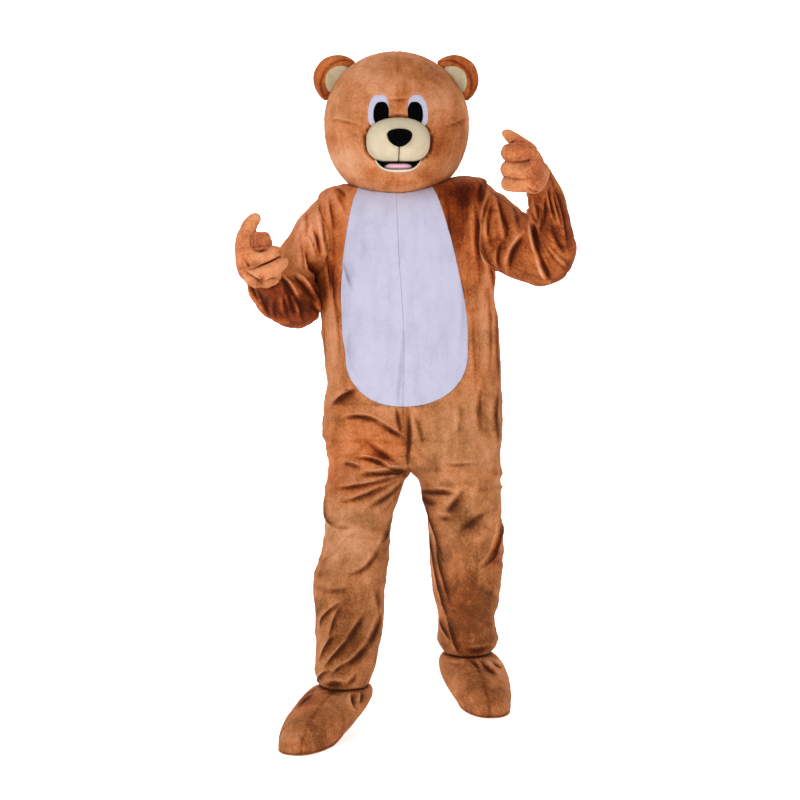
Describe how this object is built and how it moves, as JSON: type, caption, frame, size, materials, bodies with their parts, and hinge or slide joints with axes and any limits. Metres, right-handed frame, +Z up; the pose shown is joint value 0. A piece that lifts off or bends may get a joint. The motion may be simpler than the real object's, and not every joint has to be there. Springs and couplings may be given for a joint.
{
  "type": "bear mascot costume",
  "caption": "Plush bear costume in its worn pose: round hollow head with a padded muzzle, one-piece suit with a pale belly, fingered gloves and shoe covers.",
  "frame": {"origin": "the middle of the wearer's shoulders, 1.45 m above the ground that the soles touch", "axes": "+Z up, -Y the way the costume faces, +X the wearer's left"},
  "size_m": [0.9246, 0.7313, 1.86],
  "materials": {
    "brown_plush": "short-pile velour plush, matt with a soft sheen",
    "cream_plush": "short-pile plush, matt",
    "white_fleece": "brushed fleece, matt",
    "white_felt": "felt, matt",
    "black_felt": "felt, matt",
    "pink_felt": "felt, matt"
  },
  "bodies": {
    "root": {"head_face_upper_left": "brown_plush", "head_face_lower_left": "brown_plush", "head_back_left": "brown_plush", "ear_left": "brown_plush", "suit_front_left": "brown_plush", "suit_back_left": "brown_plush", "sleeve_left": "brown_plush", "glove_left_hand": "brown_plush", "glove_left_thumb": "brown_plush", "glove_left_finger_1": "brown_plush", "glove_left_finger_2": "brown_plush", "glove_left_finger_3": "brown_plush", "shoe_left_inner": "brown_plush", "shoe_left_outer": "brown_plush", "shoe_left_sole": "brown_plush", "belly_left": "white_fleece", "ear_inner_left": "cream_plush", "eye_left": "white_felt", "pupil_left": "black_felt", "head_face_upper_right": "brown_plush", "head_face_lower_right": "brown_plush", "head_back_right": "brown_plush", "ear_right": "brown_plush", "suit_front_right": "brown_plush", "suit_back_right": "brown_plush", "sleeve_right": "brown_plush", "glove_right_hand": "brown_plush", "glove_right_thumb": "brown_plush", "glove_right_finger_1": "brown_plush", "glove_right_finger_2": "brown_plush", "glove_right_finger_3": "brown_plush", "shoe_right_inner": "brown_plush", "shoe_right_outer": "brown_plush", "shoe_right_sole": "brown_plush", "belly_right": "white_fleece", "ear_inner_right": "cream_plush", "eye_right": "white_felt", "pupil_right": "black_felt", "muzzle": "cream_plush", "lower_lip": "cream_plush", "nose": "black_felt", "mouth": "black_felt", "tongue": "pink_felt"}
  },
  "joints": []
}
